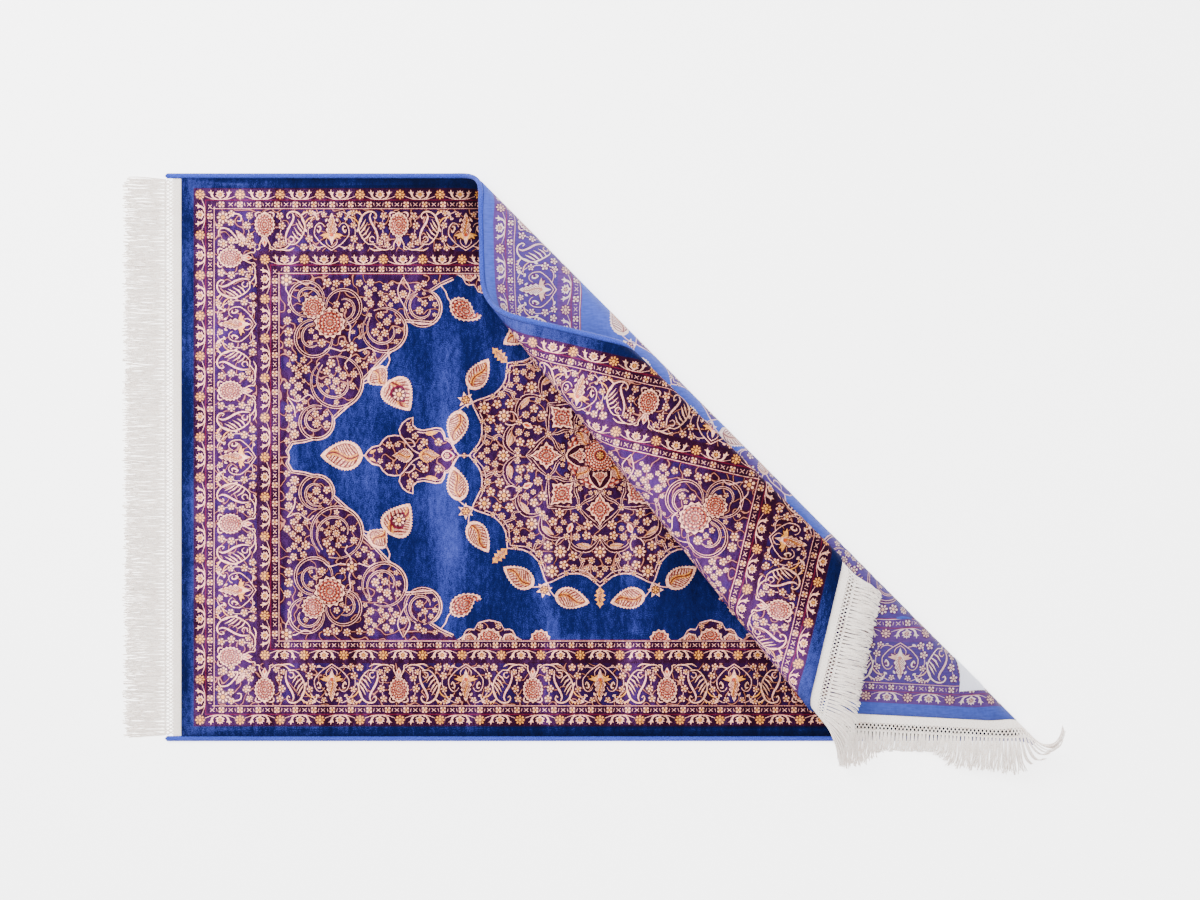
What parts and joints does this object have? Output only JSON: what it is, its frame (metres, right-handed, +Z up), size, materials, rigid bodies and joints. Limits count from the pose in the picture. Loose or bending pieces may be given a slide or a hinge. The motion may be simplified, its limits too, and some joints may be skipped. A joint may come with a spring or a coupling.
{
  "type": "persian rug",
  "caption": "Knotted pile rug with corded selvedges and a knotted fringe, lying on the floor with one corner folded back and rolled over on itself.",
  "frame": {"origin": "on the floor, under the middle of the box around the whole rug with its fringes", "axes": "+X along the rug's length, from the flat end to the folded one; +Y across it, towards the side whose corner is folded over; +Z up, away from the floor"},
  "size_m": [1.676, 1.0708, 0.125],
  "materials": {
    "pile": "silky cut pile in navy and violet blue with a copper and cream floral pattern",
    "selvedge": "blue yarn, overcast round the side cord",
    "fringe": "off-white twisted cotton warp ends, knotted in a net",
    "label": "plain white woven tape, blank"
  },
  "bodies": {
    "root": {"carpet": "pile", "selvedge_top": "selvedge", "selvedge_bottom": "selvedge", "fringe_left": "fringe", "fringe_right": "fringe", "back_label": "label"}
  },
  "joints": []
}
